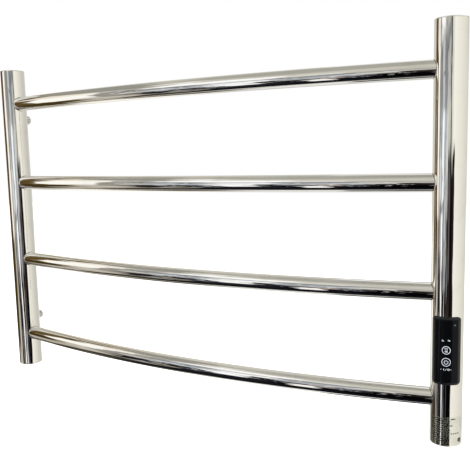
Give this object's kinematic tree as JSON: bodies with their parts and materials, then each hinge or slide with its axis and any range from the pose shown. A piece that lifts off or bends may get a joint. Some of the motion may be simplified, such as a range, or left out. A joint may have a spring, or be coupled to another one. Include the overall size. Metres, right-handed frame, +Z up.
{
  "type": "towel warmer rack",
  "caption": "Wall-hung electric towel warmer: two round posts joined by forward-bowed round bars, with a touch control panel let into the right post.",
  "frame": {"origin": "centre of the four rear wall bosses, on the plane of their open ends", "axes": "+X to the right along the rack, +Y back to the wall, out of the bosses' threads, +Z up"},
  "size_m": [0.7501, 0.0759, 0.502],
  "materials": {
    "polished_steel": "mirror-polished stainless steel",
    "turned_steel": "turned stainless steel",
    "rubber": "matt moulded rubber",
    "housing_black": "satin moulded plastic",
    "lens_black": "gloss touch lens",
    "clear_guide": "clear moulded light guide",
    "circuit_board": "solder mask",
    "tinned_steel": "tinned",
    "component_black": "moulded",
    "terminal_green": "moulded",
    "silicone_cable": "silicone",
    "earth_cable": "insulated lead",
    "brass": "plain brass",
    "label_film": "printed polyester film"
  },
  "bodies": {
    "root": {"left_post": "polished_steel", "right_post": "polished_steel", "bar_1": "polished_steel", "bar_2": "polished_steel", "bar_3": "polished_steel", "bar_4": "polished_steel", "left_top_cap": "polished_steel", "left_bottom_cap": "polished_steel", "right_top_cap": "polished_steel", "right_bottom_cap": "polished_steel", "left_upper_boss": "turned_steel", "left_lower_boss": "turned_steel", "right_upper_boss": "turned_steel", "right_lower_boss": "turned_steel", "cable_grommet": "rubber", "panel_seal": "rubber", "control_housing": "housing_black", "touch_lens": "lens_black", "pilot_light": "clear_guide", "indicator_guides": "clear_guide", "control_board": "circuit_board", "touch_springs": "tinned_steel", "relay": "component_black", "power_module": "component_black", "terminal_block": "terminal_green", "board_screws": "tinned_steel", "heating_cable": "silicone_cable", "crimp_sleeves": "tinned_steel", "heater_leads": "silicone_cable", "earth_lead": "earth_cable", "temperature_limiter": "component_black", "limiter_clip": "tinned_steel", "earth_stud": "brass", "earth_tag": "tinned_steel", "earth_nut": "brass", "rating_label": "label_film"}
  },
  "joints": []
}
